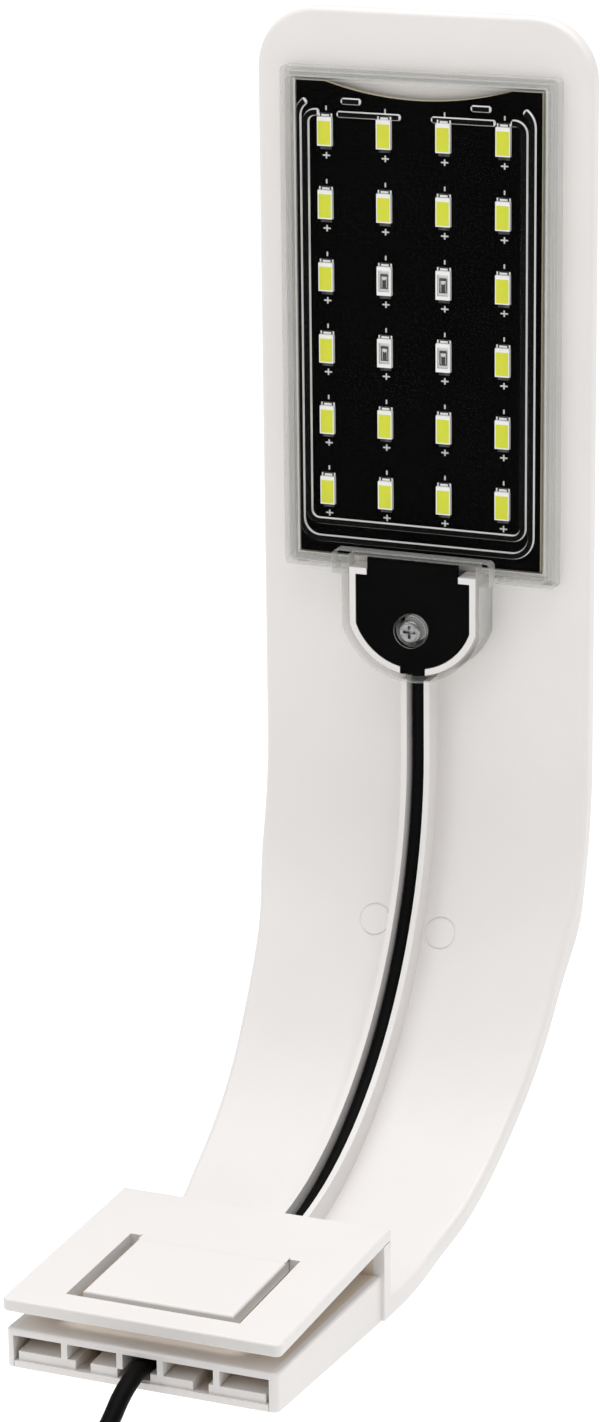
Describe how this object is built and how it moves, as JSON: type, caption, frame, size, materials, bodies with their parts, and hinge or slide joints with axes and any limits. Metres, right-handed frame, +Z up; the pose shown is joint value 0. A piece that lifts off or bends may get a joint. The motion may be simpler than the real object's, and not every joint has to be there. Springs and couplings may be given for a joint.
{
  "type": "clip-on aquarium light",
  "caption": "Curved white clip-on lamp arm with a covered LED board at one end, a slotted glass clip at the other and a corded switch and plug.",
  "frame": {"origin": "seat of the glass slot: middle of the slot's rear wall, on the plane of symmetry of the arm", "axes": "+X right, -Y out of the slot's mouth, +Z up along the lamp panel; the LEDs face -Y"},
  "size_m": [0.07, 0.33, 0.2322],
  "materials": {
    "white_abs": "semi-gloss moulded",
    "clear_cover": "clear, polished",
    "board_black": "black solder mask",
    "led_body": "white",
    "phosphor": "yellow-green",
    "led_clear": "clear over a dark chip",
    "solder": "tinned",
    "seal_silicone": "soft",
    "pad_grey": "soft",
    "screw_nickel": "nickel plated",
    "black_insert": "fine matt",
    "driver_green": "solder mask",
    "chip_black": "moulded",
    "wire_skin": "insulated wire",
    "cord_pvc": "black PVC",
    "tie_black": "hook and loop band",
    "switch_black": "fine spark texture",
    "brass_strip": "bright",
    "pin_nickel": "nickel plated"
  },
  "bodies": {
    "light": {"arm_shell": "white_abs", "clip_bottom_cover": "white_abs", "lens_cover": "clear_cover", "lamp_board": "board_black", "led_bodies_white": "led_body", "led_bodies_blue": "led_body", "led_phosphor": "phosphor", "led_windows_blue": "led_clear", "solder_pads": "solder", "cover_seal": "seal_silicone", "thermal_pad": "pad_grey", "cover_screw": "screw_nickel", "entry_insert": "black_insert", "driver_board": "driver_green", "bridge_rectifier": "chip_black", "driver_chip": "chip_black", "driver_resistors": "chip_black", "supply_wires": "wire_skin", "lamp_wires": "wire_skin", "cord_in_arm": "cord_pvc", "cord_lead": "cord_pvc", "cord_coil": "cord_pvc", "cord_to_switch": "cord_pvc", "cord_to_plug": "cord_pvc", "coil_tie": "tie_black", "switch_top": "switch_black", "switch_bottom": "switch_black", "switch_contacts": "brass_strip", "plug_body": "switch_black", "plug_pins": "pin_nickel", "plug_pin_sleeves": "black_insert", "plug_strain_relief": "cord_pvc"},
    "tongue": {"clip_tongue": "white_abs"},
    "rocker": {"switch_rocker": "switch_black"}
  },
  "joints": [
    {"name": "tongue_flex", "type": "hinge", "parent": "light", "child": "tongue", "pos_m": [0, -0.0161, 0.00425], "axis": [-1, 0, 0], "range_deg": [0, 8], "stiffness_Nm_per_rad": 0.9},
    {"name": "rocker_tip", "type": "hinge", "parent": "light", "child": "rocker", "pos_m": [-0.02, -0.142, -0.00308], "axis": [-1, 0, 0], "range_deg": [0, 16]}
  ]
}
